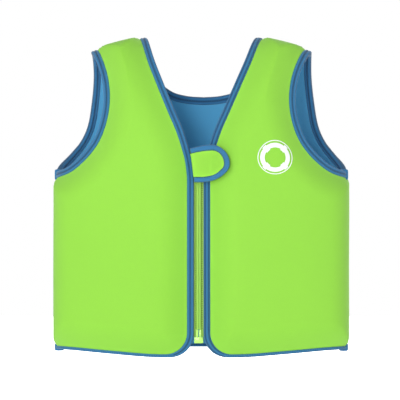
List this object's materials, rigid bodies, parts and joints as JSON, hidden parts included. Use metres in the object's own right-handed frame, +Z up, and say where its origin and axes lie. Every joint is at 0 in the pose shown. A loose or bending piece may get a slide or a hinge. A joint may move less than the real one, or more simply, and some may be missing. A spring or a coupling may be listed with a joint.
{
  "type": "child swim vest",
  "caption": "Child's foam buoyancy vest with a full front zip, bound edges, a fastening flap over the top of the zip, and open neck and arm holes.",
  "frame": {"origin": "middle of the shoulder line, where the two shoulder seams rest on the wearer", "axes": "+Z up as worn, the front faces -Y, +X to the wearer's left"},
  "size_m": [0.3106, 0.1362, 0.3366],
  "materials": {
    "outer_fabric": "smooth laminated stretch fabric, satin",
    "lining_fabric": "knitted lining, matt",
    "binding_tape": "stretch binding tape, stitched",
    "foam_core": "closed-cell foam, matt",
    "zip_cloth": "woven zip tape, matt",
    "zip_coil": "moulded coil, satin",
    "zip_hardware": "painted zinc, satin",
    "zip_box": "moulded, satin",
    "hook_loop": "hook and loop tape, matt",
    "print_ink": "screen printed ink film"
  },
  "bodies": {
    "back": {"back_shell": "outer_fabric", "back_foam": "foam_core", "back_lining": "lining_fabric", "back_neck_binding": "binding_tape", "back_hem_binding": "binding_tape", "right_back_armhole_binding": "binding_tape", "left_back_armhole_binding": "binding_tape"},
    "right_front": {"right_front_shell": "outer_fabric", "right_front_foam": "foam_core", "right_front_lining": "lining_fabric", "right_front_binding": "binding_tape", "right_front_armhole_binding": "binding_tape", "right_zip_tape": "zip_cloth", "right_zip_chain": "zip_coil", "right_top_stop": "zip_box", "retainer_box": "zip_box"},
    "left_front": {"left_front_shell": "outer_fabric", "left_front_foam": "foam_core", "left_front_lining": "lining_fabric", "left_front_binding": "binding_tape", "left_front_armhole_binding": "binding_tape", "left_zip_tape": "zip_cloth", "left_zip_chain": "zip_coil", "left_top_stop": "zip_box", "insertion_pin": "zip_box", "loop_patch": "hook_loop", "chest_print": "print_ink"},
    "slider": {"zip_slider": "zip_hardware"},
    "pull": {"slider_pull": "zip_hardware"},
    "tab": {"tab_shell": "outer_fabric", "tab_backing": "lining_fabric", "tab_binding": "binding_tape", "hook_patch": "hook_loop"}
  },
  "joints": [
    {"name": "right_front_open", "type": "hinge", "parent": "back", "child": "right_front", "pos_m": [-0.1538, 0, 0], "axis": [0, 0, -1], "range_deg": [0, 40], "deforming": ["right_zip_tape", "right_zip_chain"]},
    {"name": "left_front_open", "type": "hinge", "parent": "back", "child": "left_front", "pos_m": [0.1538, 0, 0], "axis": [0, 0, 1], "range_deg": [0, 40], "deforming": ["left_zip_tape", "left_zip_chain"]},
    {"name": "zip_slide", "type": "slide", "parent": "right_front", "child": "slider", "axis": [0, 0, -1], "range_m": [0, 0.1815]},
    {"name": "pull_swing", "type": "hinge", "parent": "slider", "child": "pull", "pos_m": [0, -0.05165, -0.1224], "axis": [-1, 0, 0], "range_deg": [0, 90]},
    {"name": "tab_open", "type": "hinge", "parent": "right_front", "child": "tab", "pos_m": [-0.0044, -0.05475, -0.1464], "axis": [0.1172, 0, -0.9931], "range_deg": [0, 110]}
  ],
  "couplings": [
    {"joint": "left_front_open", "follows": "right_front_open", "ratio": 1},
    {"joint": "zip_slide", "follows": "right_front_open", "m_per_rad": 0.2599},
    {"joint": "pull_swing", "follows": "right_front_open", "ratio": 2.249}
  ]
}
